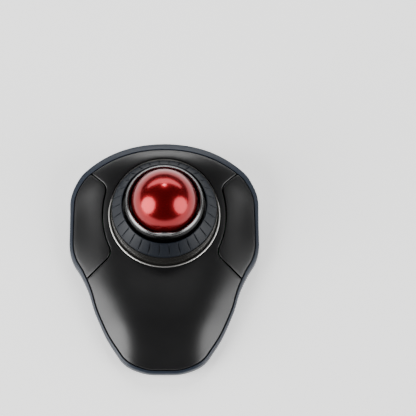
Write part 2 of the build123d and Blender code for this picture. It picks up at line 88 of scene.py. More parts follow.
# Edge of the right-hand button's window: two inner corners, the bow between them, and where its
# straight ends leave the housing.
WINDOW_UPPER, WINDOW_BOW, WINDOW_LOWER = (34.0, 43.9), (36.9, 25.0), (30.4, 1.9)
WINDOW_UPPER_END, WINDOW_LOWER_END = (60.0, 69.2), (60.0, -22.6)
UPPER_ROUNDING, LOWER_ROUNDING = 4.0, 6.5
TIP_ROUNDING = 0.9  # tips of the cover and buttons at the seam

HOLE_LEAN = 1.0  # how far the cover's hole is set towards the user
HOLE_HALF = (33.55, 34.15)  # half axes of the hole
LIP_HALF = (33.1, 33.7)  # half axes of the bright lip's inner line
LIP_WIDTH, LIP_HEIGHT, LIP_SINK = 1.0, 0.64, 1.6  # its section, and how far its far side sinks

# Outlines turned about the ball's axis, as (radius, height, rounding).
RING_PROFILE = [
    (25.3, 31.7, 0), (25.3, 34.75, 0.5), (25.95, 34.95, 0.5), (28.9, 31.3, 0), (31.62, 27.2, 0.7),
    (31.5, 26.1, 0.35), (29.6, 26.1, 0), (28.7, 27.0, 0), (28.7, 24.3, 0), (29.7, 24.3, 0),
    (29.7, 23.2, 0), (28.7, 23.2, 0), (28.7, 21.0, 0), (27.3, 21.0, 0), (27.3, 29.9, 0)]
GROOVE_LOW, GROOVE_HIGH = (27.6, 1.2), (34.7, 1.0)  # heights where grooves end, and their run-out
GROOVE_INNER = 25.6  # grooves are cut outside this radius
GROOVE_WAY = (0.8, 0.6)  # inwards and down, square to the ring's sloping face
TOOTH_OUTLINE = [(27.3, 19.5), (28.7, 19.5), (28.7, 21.0), (27.3, 21.0)]
TOOTH_SHARE = 0.56  # of the pitch of the encoder's teeth
COLLAR_PROFILE = [
    (20.95, 31.1, 0), (20.95, 38.6, 0.6), (21.4, 40.4, 0.35), (22.1, 40.7, 0.4),
    (23.1, 39.7, 0.25), (23.15, 39.35, 0.12), (23.5, 39.2, 0.3), (24.2, 37.5, 0.9), (24.3, 31.1, 0)]
COLLAR_SHADE_RADIUS = 23.2  # the collar's band next to the ball ends at this radius, and painted shade darkens the collar outside it
TAB_FROM, TAB_BLEND = 38.0, 2.5  # the tab lifts what is above this height, over this height
OVAL_WALL = 1.0  # radius that marks the stand's oval outer wall
STAND_FOOT, STAND_TOP, STAND_TOP_R = 17.0, 25.8, 31.9
STAND_SPREAD = (0.9, 1.5)  # how much wider the foot is across and along
STAND_PROFILE = [
    (OVAL_WALL, STAND_FOOT, 0), (OVAL_WALL, STAND_TOP, 0.5), (30.4, STAND_TOP, 0.4),
    (30.4, 18.5, 0), (27.2, 18.5, 0), (27.2, 29.6, 0), (23.0, 29.6, 0), (23.0, 28.1, 0),
    (25.75, 28.1, 0), (25.75, STAND_FOOT, 0)]

# Lamps and camera, in metres. Each lamp has a name, place, aim, size and power.
LAMPS = [
    ("rear_light", (0.0, 0.87, 0.60), (0, 0.03, 0.02), (2.4, 0.36), 11),
    ("rear_key", (0.0, 0.66, 0.83), (0, 0.03, 0.04), (0.18, 0.14), 2.0),
    ("left_light", (-0.98, -0.38, 0.48), (0, 0.0, 0.02), (1.0, 1.2), 30),
    ("right_light", (0.98, -0.38, 0.48), (0, 0.0, 0.02), (1.0, 1.2), 20)]
CAMERA_AIM, CAMERA_SHIFT = (0, 0.0314, 0.020), 0.105
FLOOR_HALF = 6000.0  # half the floor's side, in millimetres


# ---------------------------------------------------------------- settings
class ShellSizes(bpy.types.PropertyGroup):
    """Sizes of the housing's skin and seams, in millimetres."""

    seam: FloatProperty(name="Seam", description="Gap between rim and cover", default=0.5)
    foot: FloatProperty(name="Foot rounding", description="Rounding of the base's lower edge",
                        default=4.4)
    button_gap: FloatProperty(name="Button gap", description="Line round a button", default=0.7)
    edge: FloatProperty(name="Edge rounding", description="Rounding of moulded edges", default=0.4)
    dish: FloatProperty(name="Finger dish", description="Depth of the buttons' dish", default=1.3)
    thickness: FloatProperty(name="Wall", description="Thickness of the moulded skin", default=2.4)
    grid: FloatProperty(name="Mesh step", description="Distance between surface points",
                        default=1.4)


class RingSizes(bpy.types.PropertyGroup):
    """Sizes of the scroll ring, collar and ball, in millimetres."""

    grooves: IntProperty(name="Grooves", description="Grooves round the ring", default=30)
    groove_depth: FloatProperty(name="Groove depth", description="Depth of a groove", default=0.9)
    groove_width: FloatProperty(name="Groove width", description="Half width, degrees", default=0.7)
    teeth: IntProperty(name="Encoder teeth", description="Slots under the ring's skirt", default=40)
    ball: FloatProperty(name="Ball diameter", description="Diameter of the ball", default=40.0)
    tab_rise: FloatProperty(name="Tab rise", description="Rise of the collar's tab", default=2.2)
    tab_width: FloatProperty(name="Tab width", description="Half width in degrees", default=11.0)


class Finishes(bpy.types.PropertyGroup):
    """Colours of the moulded plastics and of the ball."""

    cover: FloatVectorProperty(name="Cover", description="Cover and buttons", subtype="COLOR",
                               default=(0.0045, 0.0045, 0.0048))
    slate: FloatVectorProperty(name="Slate", description="Base and rim", subtype="COLOR",
                               default=(0.011, 0.016, 0.026))
    ring: FloatVectorProperty(name="Ring", description="Scroll ring", subtype="COLOR",
                              default=(0.004, 0.006, 0.010))
    ball: FloatVectorProperty(name="Ball", description="Ball", subtype="COLOR",
                              default=(0.23, 0.004, 0.007))


class StageSettings(bpy.types.PropertyGroup):
    """Camera and floor."""

    elevation: FloatProperty(name="Elevation", description="Camera height angle",
                             default=math.radians(67.7), subtype="ANGLE")
    distance: FloatProperty(name="Distance", description="Camera distance", default=3.0,
                            unit="LENGTH")
    span: FloatProperty(name="View width", description="Width seen at the object",
                        default=0.2514, unit="LENGTH")
    floor: FloatVectorProperty(name="Floor", description="Floor colour", subtype="COLOR",
                               default=(0.90, 0.90, 0.893))


# ---------------------------------------------------------------- shader maths
class Value:
    """A shader socket; arithmetic on it adds Math nodes to its tree."""

    def __init__(self, sheet, socket):
        self.sheet, self.socket = sheet, socket

    def _math(self, operation, *operands):
        return self.sheet.add("ShaderNodeMath", {"operation": operation}, list(operands))

    def __add__(self, other):
        return self._math("ADD", self, other)

    def __radd__(self, other):
        return self._math("ADD", other, self)

    def __sub__(self, other):
        return self._math("SUBTRACT", self, other)

    def __mul__(self, other):
        return self._math("MULTIPLY", self, other)

    def __pow__(self, other):
        return self._math("POWER", self, other)

    def above(self, limit):
        return self._math("GREATER_THAN", self, limit)


class Sheet:
    """A material and its node tree."""

    def __init__(self, name):
        self.material = bpy.data.materials.new(name)
        self.material.use_nodes = True
        self.tree = self.material.node_tree
        self.tree.nodes.clear()
        self.output = self.tree.nodes.new("ShaderNodeOutputMaterial")

    def add(self, kind, settings=None, values=None, out=0):
        """Adds a node, sets it up, fills or links its inputs and returns one output."""
        node = self.tree.nodes.new(kind)
        for key, setting in (settings or {}).items():
            if key == "stops":
                ramp = node.color_ramp
                while len(ramp.elements) < len(setting):
                    ramp.elements.new(0.5)
                for element, (place, colour) in zip(ramp.elements, setting):
                    element.position, element.color = place, colour
            else:
                setattr(node, key, setting)
        pairs = values.items() if isinstance(values, dict) else enumerate(values or [])
        for key, value in pairs:
            if isinstance(value, Value):
                self.tree.links.new(value.socket, node.inputs[key])
            else:
                node.inputs[key].default_value = value
        return Value(self, node.outputs[out])

    def place(self):
        return self.add("ShaderNodeTexCoord", out="Object")

    def coordinates(self):
        """X, Y and Z of the shaded point, in metres."""
        split = self.add("ShaderNodeSeparateXYZ", None, [self.place()])
        return [Value(self, output) for output in split.socket.node.outputs]

    def noise(self, size, detail=2.0, rough=0.5):
        """Noise with features of about size millimetres."""
        return self.add("ShaderNodeTexNoise", None, {
            "Vector": self.place(), "Scale": 1 / (size * MM), "Detail": detail,
            "Roughness": rough})

    def mix(self, factor, one, other):
        return self.add("ShaderNodeMix", {"data_type": "RGBA"}, {
            0: factor, 6: one, 7: other}, out=2)

    def bump(self, height, strength, depth):
        """Surface relief; depth in millimetres."""
        return self.add("ShaderNodeBump", None, {
            "Strength": strength, "Distance": depth * MM, "Height": height})

    def finish(self, **inputs):
        """Closes the tree with a Principled shader."""
        names = {key.replace("_", " "): value for key, value in inputs.items()}
        shader = self.add("ShaderNodeBsdfPrincipled", None, names, out="BSDF")
        self.tree.links.new(shader.socket, self.output.inputs["Surface"])
        return self.material


def shade(colour, scale):
    """A colour made lighter or darker, with alpha."""
    return (*[c * scale for c in colour[:3]], 1.0)


def moulded(name, colour, rough, grain=0.35, relief=0.02, specular=0.5):
    """Moulded plastic: fine spark-eroded grain, and gloss that varies slightly with handling."""
    sheet = Sheet(name)
    fine = sheet.noise(grain, 3.0, 0.6)
    broad = sheet.noise(22.0, 2.0, 0.5)
    tint = sheet.mix(fine * 0.5 + broad * 0.5, shade(colour, 0.86), shade(colour, 1.16))
    gloss = rough + (broad - 0.5) * 0.07 + (fine - 0.5) * 0.05
    return sheet.finish(Base_Color=tint, Roughness=gloss, Specular_IOR_Level=specular,
                        Normal=sheet.bump(fine, 0.35, relief))


def ball_finish(colour):
    """Polished resin: deep red body with a faint pearl under a clear gloss coat."""
    sheet = Sheet("ball_resin_finish")
    pearl = sheet.add("ShaderNodeTexVoronoi", {"feature": "F1"}, {
        "Vector": sheet.place(), "Scale": 1 / (0.5 * MM)})
    cloud = sheet.noise(9.0, 3.0)
    tint = sheet.mix(cloud * 0.7 + pearl * 0.3, shade(colour, 0.8), shade(colour, 1.25))
    return sheet.finish(Base_Color=tint, Metallic=0.85, Roughness=0.24 + (cloud - 0.5) * 0.04,
                        Coat_Weight=0.35, Coat_Roughness=0.12, Coat_IOR=1.5)


def metal(name, colour, rough):
    """Plated or coated metal with a fine uneven sheen."""
    sheet = Sheet(name)
    fine = sheet.noise(0.6, 3.0, 0.65)
    broad = sheet.noise(12.0, 2.0)
    tint = sheet.mix(broad, shade(colour, 0.92), shade(colour, 1.08))
    return sheet.finish(Base_Color=tint, Metallic=1.0,
                        Roughness=rough + (fine - 0.5) * 0.04,
                        Normal=sheet.bump(fine, 0.12, 0.01))


def collar_finish(colour):
    """Satin coated metal, with painted shade that darkens its flank outside the band next to the
    ball.
    """
    sheet = Sheet("collar_finish")
    x, y, _ = sheet.coordinates()
    y = y - AXIS_Y * MM
    radius = (x * x + y * y) ** 0.5
    # painted shade: outside the band the colour falls to 0.16 of the collar's own, standing in for
    # the shade on its steep flank
    outside = sheet.add("ShaderNodeMapRange", {"interpolation_type": "SMOOTHSTEP"}, {
        "Value": radius, "From Min": (COLLAR_SHADE_RADIUS - 0.1) * MM,
        "From Max": (COLLAR_SHADE_RADIUS + 0.1) * MM})
    tint = sheet.mix(outside, shade(colour, 1.0), shade(colour, 0.16))
    broad = sheet.noise(12.0, 2.0)
    return sheet.finish(Base_Color=tint, Metallic=1.0, Roughness=0.26 + (broad - 0.5) * 0.05)


def rubber_finish():
    """Matt rubber with a little dust."""
    sheet = Sheet("rubber_foot_finish")
    fine = sheet.noise(0.3, 4.0, 0.7)
    dust = sheet.noise(5.0, 3.0, 0.6)
    tint = sheet.mix(dust, (0.018, 0.018, 0.018, 1), (0.034, 0.033, 0.032, 1))
    return sheet.finish(Base_Color=tint, Roughness=0.86 + (fine - 0.5) * 0.1,
                        Normal=sheet.bump(fine, 0.5, 0.03))


def board_finish():
    """Green solder mask with faint tracks."""
    sheet = Sheet("circuit_board_finish")
    tracks = sheet.add("ShaderNodeTexBrick", {"offset": 0.5}, {
        "Vector": sheet.place(), "Scale": 260.0, "Mortar Size": 0.06,
        "Color1": (0.004, 0.070, 0.022, 1), "Color2": (0.006, 0.085, 0.028, 1),
        "Mortar": (0.012, 0.140, 0.050, 1)})
    return sheet.finish(Base_Color=tracks, Roughness=0.35 + sheet.noise(3.0) * 0.1)


def cell_finish():
    """Plain foil wrap of a cell: dark body and a copper-coloured band at one end."""
    sheet = Sheet("cell_wrap_finish")
    x, _, _ = sheet.coordinates()
    scuff = sheet.noise(2.0, 3.0)
    body = sheet.mix(x.above(0.012), (0.018, 0.020, 0.024, 1), (0.45, 0.22, 0.10, 1))
    return sheet.finish(Base_Color=body, Metallic=0.55, Roughness=0.26 + scuff * 0.1)


def lens_finish():
    """Clear moulded lens."""
    sheet = Sheet("sensor_lens_finish")
    return sheet.finish(Base_Color=(0.95, 0.97, 1.0, 1), Roughness=0.04 + sheet.noise(2.0) * 0.03,
                        Transmission_Weight=0.9, IOR=1.49)


FINISHES = {}


def make_finishes(colours):
    """Every finish by the name that the pieces ask for."""
    FINISHES.update({
        "cover": moulded("cover_finish", colours.cover, 0.33),
        "button": moulded("button_finish", colours.cover, 0.33),
        "slate": moulded("slate_rim_finish", colours.slate, 0.40, specular=0.32),
        "ring": moulded("scroll_ring_finish", colours.ring, 0.46, grain=0.5, specular=0.24),
        "stand": moulded("ring_stand_finish", (0.012, 0.0115, 0.0105), 0.26, relief=0.008),
        "dark": moulded("dark_plastic_finish", (0.012, 0.012, 0.013), 0.45),
        "white": moulded("acetal_finish", (0.70, 0.69, 0.64), 0.40),
        "ceramic": moulded("bearing_ceramic_finish", (0.80, 0.78, 0.72), 0.12, relief=0.002),
        "chip": moulded("chip_finish", (0.008, 0.008, 0.009), 0.5),
        "ball": ball_finish(colours.ball),
        "collar": collar_finish((0.16, 0.16, 0.162)),
        "lip": metal("lip_finish", (0.62, 0.61, 0.59), 0.42),
        "steel": metal("plated_steel_finish", (0.56, 0.55, 0.53), 0.28),
        "rubber": rubber_finish(),
        "board": board_finish(),
        "cell": cell_finish(),
        "lens": lens_finish(),
    })


# ---------------------------------------------------------------- the housing's surfaces
def along(y, column, table=STATIONS):
    """One column of a table at y, by the same smooth cubic as the frame's skin."""
    rows = np.array(table)
    k = np.clip(np.searchsorted(rows[:, 0], y, side="right") - 1, 1, len(rows) - 3)
    y0, y1, y2, y3 = (rows[k + i, 0] for i in (-1, 0, 1, 2))
    v0, v1, v2, v3 = (rows[k + i, column] for i in (-1, 0, 1, 2))
    span = y2 - y1
    t = (y - y1) / span
    m1, m2 = (v2 - v0) / (y2 - y0) * span, (v3 - v1) / (y3 - y1) * span
    return ((2 * t**3 - 3 * t**2 + 1) * v1 + (t**3 - 2 * t**2 + t) * m1
            + (3 * t**2 - 2 * t**3) * v2 + (t**3 - t**2) * m2)


def skin(x, y, dish=FRAME_DISH):
    """Height of the housing's skin."""
    ridge, half_width, edge = (along(y, c) for c in (1, 2, 3))
    side = (np.abs(x) / half_width) ** SHOULDER
    fall = (ridge - edge) * 1.6 * side / (1 + 0.6 * side)
    radius = np.hypot(x, y - REAR_Y + REAR_RADIUS)
    beyond = np.maximum(0, (radius - ROLL_START) / (REAR_RADIUS - ROLL_START))
    straight = ROLL_LIMIT * (2 * beyond - ROLL_LIMIT)
    roll = ROLL_DROP * np.where(beyond < ROLL_LIMIT, beyond**2, straight)
    across, down = (np.abs(x) - DISH_X[0]) / DISH_X[1], (y - DISH_Y[0]) / DISH_Y[1]
    return ridge - fall - roll - dish * np.exp(-(across**2) - down**2)


def arc_to(start, end, way, step=0.7):
    """Points of the arc that leaves start along way and reaches end, and its last direction."""
    chord = end - start
    side = np.array([-way[1], way[0]])
    turn = math.atan2(side @ chord, way @ chord)
    count = max(3, int(np.hypot(*chord) / step))
    if abs(turn) < 1e-6:
        return [start + chord * (i + 1) / count for i in range(count)], way
    radius = np.hypot(*chord) / (2 * math.sin(turn))
    angles = [2 * turn * (i + 1) / count for i in range(count)]
    points = [start + radius * (math.sin(a) * way + (1 - math.cos(a)) * side) for a in angles]
    return points, math.cos(2 * turn) * way + math.sin(2 * turn) * side


def right_flank():
    """Right half of the housing's plan, from the middle of the far edge to the near edge."""
    corner_y = REAR_Y - REAR_RADIUS + math.sqrt(REAR_RADIUS**2 - CORNER_X**2)
    corner = np.array([CORNER_X, corner_y])
    places = [corner] + [np.array(p) for p in SIDE]
    points, way = [np.array([0.0, REAR_Y])], np.array([1.0, 0.0])
    more, way = arc_to(points[0], corner, way)
    points += more
    ways = [way]
    for i in range(1, len(places) - 1):
        before, after = places[i] - places[i - 1], places[i + 1] - places[i]
        mean = before / (before @ before) + after / (after @ after)
        ways.append(mean / np.hypot(*mean))
    ways.append(np.array([-1.0, 0.0]))
    for start, end, leaving, arriving in zip(places, places[1:], ways, ways[1:]):
        chord, both = end - start, leaving + arriving
        slack, reach = 2 * (1 - leaving @ arriving), chord @ both
        length = (math.sqrt(reach**2 + slack * (chord @ chord)) - reach) / slack
        middle = (start + leaving * length + end - arriving * length) / 2
        more, way = arc_to(start, middle, leaving)
        points += more
        more, _ = arc_to(middle, end, way)
        points += more
    return np.array(points)


def shifted(path, amount, closed=False):
    """A dense path moved to its right-hand side by amount."""
    if closed:
        run = np.roll(path, -1, 0) - np.roll(path, 1, 0)
    else:
        run = np.gradient(path, axis=0)
    run /= np.hypot(run[:, 0], run[:, 1])[:, None]
    return path + amount * np.stack([run[:, 1], -run[:, 0]], 1)


def rim_width(path):
    """Width of the rim beside each point of the plan: widest at the far side."""
    return along(path[:, 1], 1, RIM_WIDTHS)[:, None]


def softened(path, corner, radius):
    """Rounds one corner of a dense path."""
    steps = np.hypot(*np.diff(path, axis=0).T)
    away = np.concatenate([[0], np.cumsum(steps)])
    away -= away[corner]
    first, last = np.searchsorted(away, -radius), np.searchsorted(away, radius)
    first, last = max(first, 0), min(last, len(path) - 1)
    start, middle, end = path[first], path[corner], path[last]
    t = np.linspace(0, 1, 13)[1:-1, None]
    curve = (1 - t) ** 2 * start + 2 * t * (1 - t) * middle + t**2 * end
    return np.concatenate([path[: first + 1], curve, path[last:]])


def resampled(path, step, closed=False):
    """The same line with evenly spaced points."""
    if closed:
        path = np.concatenate([path, path[:1]])
    gaps = np.hypot(*np.diff(path, axis=0).T)
    path = path[np.concatenate([[True], gaps > 1e-6])]
    away = np.concatenate([[0], np.cumsum(np.hypot(*np.diff(path, axis=0).T))])
    count = max(4, int(round(away[-1] / step)))
    at = np.linspace(0, away[-1], count + 1)
    even = np.stack([np.interp(at, away, path[:, k]) for k in (0, 1)], 1)
    return even[:-1] if closed else even


def window_path(grow=0.0):
    """Edge of the right-hand button's window, moved inwards by grow, from outside to outside."""
    upper, middle, lower = (np.array(p) for p in (WINDOW_UPPER, WINDOW_BOW, WINDOW_LOWER))
    first = resampled(np.array([WINDOW_UPPER_END, upper]), 0.4)
    last = resampled(np.array([lower, WINDOW_LOWER_END]), 0.4)
    a, b = middle - upper, lower - upper
    cross = 2 * (a[0] * b[1] - a[1] * b[0])
    centre = upper + np.array([b[1] * (a @ a) - a[1] * (b @ b),
                               a[0] * (b @ b) - b[0] * (a @ a)]) / cross
    angles = np.unwrap([math.atan2(*(p - centre)[::-1]) for p in (upper, middle, lower)])
    sweep = np.linspace(angles[0], angles[2], 110)
    radius = np.hypot(*(upper - centre))
    bow = centre + radius * np.stack([np.cos(sweep), np.sin(sweep)], 1)
    path = np.concatenate([first, bow[1:-1], last])
    path = softened(path, len(first) + len(bow) - 2, LOWER_ROUNDING)
    path = resampled(softened(path, len(first) - 1, UPPER_ROUNDING), 0.5)
    return shifted(path, -grow) if grow else path


def crossing(path, line):
    """Where a path first crosses a line: index in each, and the point."""
    for i in range(len(path) - 1):
        p, r = path[i], path[i + 1] - path[i]
        q, s = line[:-1], np.diff(line, axis=0)
        across = r[0] * s[:, 1] - r[1] * s[:, 0]
        gap = q - p
        t = (gap[:, 0] * s[:, 1] - gap[:, 1] * s[:, 0]) / across
        u = (gap[:, 0] * r[1] - gap[:, 1] * r[0]) / across
        hit = np.flatnonzero((t >= 0) & (t < 1) & (u >= 0) & (u < 1))
        if len(hit):
            return i, hit[0], p + t[hit[0]] * r
    raise RuntimeError("the window's edge misses the housing's plan")


def window_bow(flank, grow=0.0):
    """The window's edge between its two crossings with the flank, and for each crossing the
    flank's index and the point."""
    edge = window_path(grow)
    i, first, upper = crossing(edge, flank)
    k, last, lower = crossing(edge[::-1], flank)
    return edge[i + 1 : len(edge) - 1 - k], (first, upper), (last, lower)


def cover_and_button(sizes):
    """Closed plans of the cover and of the right-hand button."""
    flank = right_flank()
    flank = shifted(flank, rim_width(flank) + sizes.seam)
    flank[0], flank[-1] = (0.0, flank[1, 1]), (0.0, flank[-2, 1])
    bow, (first, upper), (last, lower) = window_bow(flank)
    half = np.concatenate([flank[: first + 1], [upper], bow, [lower], flank[last + 1 :]])
    half = softened(half, first + 2 + len(bow), TIP_ROUNDING)
    half = resampled(softened(half, first + 1, TIP_ROUNDING), 0.8)
    cover = np.concatenate([half, half[::-1][1:-1] * (-1, 1)])
    bow, (first, upper), (last, lower) = window_bow(flank, sizes.button_gap)
    outer = np.concatenate([[upper], flank[first + 1 : last + 1], [lower]])
    start = len(outer) // 2
    loop = np.roll(np.concatenate([outer, bow[::-1]]), -start, axis=0)
    loop = softened(loop, len(loop) - start, TIP_ROUNDING)
    loop = softened(loop, len(outer) - 1 - start, TIP_ROUNDING)
    return cover, resampled(loop, 0.7, closed=True)


def inside(points, loop):
    """Which points lie within a closed loop."""
    x, y = points[:, 0][:, None], points[:, 1][:, None]
    x0, y0 = loop[:, 0], loop[:, 1]
    x1, y1 = np.roll(x0, -1), np.roll(y0, -1)
    spans = (y0 > y) != (y1 > y)
    with np.errstate(divide="ignore", invalid="ignore"):
        cuts = x < (x1 - x0) * (y - y0) / (y1 - y0) + x0
    return (np.sum(spans & cuts, axis=1) % 2).astype(bool)


def turned_right(loop):
    """The loop in clockwise order, so that its right-hand side is its inside."""
    x, y = loop[:, 0], loop[:, 1]
    area = np.sum(x * np.roll(y, -1) - np.roll(x, -1) * y)
    return loop[::-1] if area > 0 else loop


def filled(rims, low, high, step):
    """Triangles that fill the first rim and leave the others open: their places in plan, their
    corners, and which places are the rims' own points."""
    xs, ys = np.arange(low[0], high[0], step), np.arange(low[1], high[1], step * 0.87)
    gx, gy = np.meshgrid(xs, ys)
    gx = gx + (np.arange(len(ys)) % 2)[:, None] * step / 2
    field = np.stack([gx.ravel(), gy.ravel()], 1)

    def within(points):
        return inside(points, rims[0]) & ~np.any([inside(points, r) for r in rims[1:]], axis=0)

    field = field[within(field)]
    border = np.concatenate(rims)
    near = np.array([np.min(np.sum((border - p) ** 2, axis=1)) for p in field])
    flat = np.concatenate([border, field[near > (0.6 * step) ** 2]])
    edges, base = [], 0
    for rim in rims:
        n = len(rim)
        edges += [(base + i, base + (i + 1) % n) for i in range(n)]
        base += n
    done = geometry.delaunay_2d_cdt([Vector(p) for p in flat], edges, [], 0, 1e-5)
    places = np.array([tuple(v) for v in done[0]])
    if len(places) != len(flat):
        raise RuntimeError("the plate's border crosses itself")
    faces = np.array([f for f in done[2] if len(f) == 3])
    faces = faces[within(places[faces].mean(axis=1))]
    order = {ids[0]: n for n, ids in enumerate(done[3]) if ids}
    return places, faces, np.array([order[i] for i in range(len(border))])


def plate(outer, holes, sizes, top):
    """A moulded plate of even thickness under a surface, with rounded edges all round."""
    edge = sizes.edge
    loops = [turned_right(outer)] + [turned_right(h)[::-1] for h in holes]
    rims = [shifted(loop, edge, closed=True) for loop in loops]
    places, faces, index = filled(rims, outer.min(0), outer.max(0), sizes.grid)
    verts = [(x, y, z) for (x, y), z in zip(places, top(places[:, 0], places[:, 1]))]
    count = len(verts)
    a, b, c = (places[faces[:, k]] for k in range(3))
    area = (b - a)[:, 0] * (c - a)[:, 1] - (b - a)[:, 1] * (c - a)[:, 0]
    faces = [tuple(f) if s > 0 else tuple(f[::-1]) for f, s in zip(faces.tolist(), area)]
    verts += [(x, y, z - sizes.thickness) for x, y, z in verts]
    faces += [tuple(i + count for i in f[::-1]) for f in faces]
    base = 0
    for loop in loops:
        n = len(loop)
        rows = [index[base : base + n].tolist()]
        lines = [(edge * (1 - math.sin(turn)), edge * (1 - math.cos(turn)))
                 for turn in np.radians(range(18, 91, 18))] + [(0.0, sizes.thickness)]
        for inset, drop in lines:
            ring = shifted(loop, inset, closed=True) if inset or drop < sizes.thickness else loop
            rows.append(list(range(len(verts), len(verts) + n)))
            height = top(ring[:, 0], ring[:, 1]) - drop
            verts += [(x, y, z) for (x, y), z in zip(ring, height)]
        rows.append([i + count for i in rows[0]])
        for upper, lower in zip(rows, rows[1:]):
            for i in range(n):
                j = (i + 1) % n
                faces.append((upper[i], upper[j], lower[j], lower[i]))
        base += n
    return verts, faces


# ---------------------------------------------------------------- making pieces
def new_mesh(name, verts, faces):
    """A mesh object from points in millimetres."""
    mesh = bpy.data.meshes.new(name)
    mesh.from_pydata([tuple(c * MM for c in v) for v in verts], [], faces)
    mesh.validate()
    piece = bpy.data.objects.new(name, mesh)
    bpy.context.scene.collection.objects.link(piece)
    return piece


def tidy(piece, angle=32.0, outward=True):
    """Merges doubles, turns faces outwards and shades smooth up to an angle."""
    work = bmesh.new()
    work.from_mesh(piece.data)
    bmesh.ops.remove_doubles(work, verts=work.verts, dist=2e-6)
    if outward:
        bmesh.ops.recalc_face_normals(work, faces=work.faces)
    for edge in work.edges:
        edge.smooth = len(edge.link_faces) != 2 or edge.calc_face_angle(0) < math.radians(angle)
    for face in work.faces:
        face.smooth = True
    work.to_mesh(piece.data)
    work.free()
    return piece


def settle(piece, body, slot, finish, *nodes):
    """Gives a piece its finish and its body, and hides the CAD nodes that it stands for."""
    piece.data.materials.clear()
    piece.data.materials.append(FINISHES[finish])
    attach(piece, body)
    if nodes:
        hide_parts(*nodes)
    return piece


def rounded_profile(corners):
    """Closed (radius, height) outline from corners given as (radius, height, rounding)."""
    points = []
    n = len(corners)
    for i, (r, z, rounding) in enumerate(corners):
        here = np.array([r, z])
        before = np.array(corners[i - 1][:2]) - here
        after = np.array(corners[(i + 1) % n][:2]) - here
        if not rounding:
            points.append(here)
            continue
        start = here + before / np.hypot(*before) * min(rounding, np.hypot(*before) * 0.49)
        end = here + after / np.hypot(*after) * min(rounding, np.hypot(*after) * 0.49)
        for t in np.linspace(0, 1, 7):
            points.append((1 - t) ** 2 * start + 2 * t * (1 - t) * here + t**2 * end)
    return np.array(points)


def swept(rows, closed):
    """Quads over rows of points. Each row is a loop; closed joins the last row to the first."""
    verts = [tuple(p) for row in rows for p in row]
    n, count = len(rows[0]), len(rows)
    faces = []
    for i in range(count if closed else count - 1):
        j = (i + 1) % count
        for k in range(n):
            m = (k + 1) % n
            faces.append((i * n + k, i * n + m, j * n + m, j * n + k))
    return verts, faces


def oval(across, along_y, lean, angle):
    """A point in plan on an oval round the ball's axis, set towards the user by lean."""
    return across * math.cos(angle), AXIS_Y - lean + along_y * math.sin(angle)


def round_axis(radius, height, angle):
    """A point about the ball's upright axis."""
    return radius * math.cos(angle), AXIS_Y + radius * math.sin(angle), height


def repeated(sector, name, count, material):
    """Copies of a sector turned about the ball's upright axis, by Geometry Nodes, as one mesh."""
    tree = bpy.data.node_groups.new(name + "_tree", "GeometryNodeTree")
    sockets = tree.interface
    sockets.new_socket("Geometry", in_out="INPUT", socket_type="NodeSocketGeometry")
    copies = sockets.new_socket("Copies", in_out="INPUT", socket_type="NodeSocketInt")
    centre = sockets.new_socket("Axis place", in_out="INPUT", socket_type="NodeSocketVector")
    sockets.new_socket("Geometry", in_out="OUTPUT", socket_type="NodeSocketGeometry")
    nodes, link = tree.nodes, tree.links.new
    ports, end = nodes.new("NodeGroupInput"), nodes.new("NodeGroupOutput")
    points = nodes.new("GeometryNodePoints")
    link(ports.outputs["Copies"], points.inputs["Count"])
    link(ports.outputs["Axis place"], points.inputs["Position"])
    index = nodes.new("GeometryNodeInputIndex")
    share = nodes.new("ShaderNodeMath")
    share.operation = "DIVIDE"
    link(index.outputs[0], share.inputs[0])
    link(ports.outputs["Copies"], share.inputs[1])
    turn = nodes.new("ShaderNodeMath")
    turn.operation = "MULTIPLY"
    link(share.outputs[0], turn.inputs[0])
    turn.inputs[1].default_value = 2 * math.pi
    spin = nodes.new("ShaderNodeCombineXYZ")
    link(turn.outputs[0], spin.inputs["Z"])
    moved = nodes.new("GeometryNodeTransform")
    back = nodes.new("ShaderNodeVectorMath")
    back.operation = "SCALE"
    back.inputs["Scale"].default_value = -1.0
    link(ports.outputs["Axis place"], back.inputs[0])
    link(ports.outputs["Geometry"], moved.inputs["Geometry"])
    link(back.outputs[0], moved.inputs["Translation"])
    place = nodes.new("GeometryNodeInstanceOnPoints")
    link(points.outputs[0], place.inputs["Points"])
    link(moved.outputs[0], place.inputs["Instance"])
    link(spin.outputs[0], place.inputs["Rotation"])
    real = nodes.new("GeometryNodeRealizeInstances")
    link(place.outputs[0], real.inputs[0])
    weld = nodes.new("GeometryNodeMergeByDistance")
    weld.inputs["Distance"].default_value = 2e-6
    link(real.outputs[0], weld.inputs["Geometry"])
    paint = nodes.new("GeometryNodeSetMaterial")
    paint.inputs["Material"].default_value = material
    link(weld.outputs[0], paint.inputs["Geometry"])
    link(paint.outputs[0], end.inputs[0])
    live = sector.modifiers.new(name, "NODES")
    live.node_group = tree
    live[copies.identifier] = count
    live[centre.identifier] = (0.0, AXIS_Y * MM, 0.0)
    return baked(sector, name)


def baked(source, name):
    """Turns a piece with live modifiers into a plain mesh object."""
    graph = bpy.context.evaluated_depsgraph_get()
    graph.update()
    mesh = bpy.data.meshes.new_from_object(source.evaluated_get(graph))
    bpy.data.objects.remove(source)
    mesh.name = name
    piece = bpy.data.objects.new(name, mesh)
    bpy.context.scene.collection.objects.link(piece)
    return piece


def joined(first, second):
    """Puts the second mesh into the first one's object."""
    work = bmesh.new()
    work.from_mesh(first.data)
    work.from_mesh(second.data)
    work.to_mesh(first.data)
    work.free()
    bpy.data.objects.remove(second)
    return first


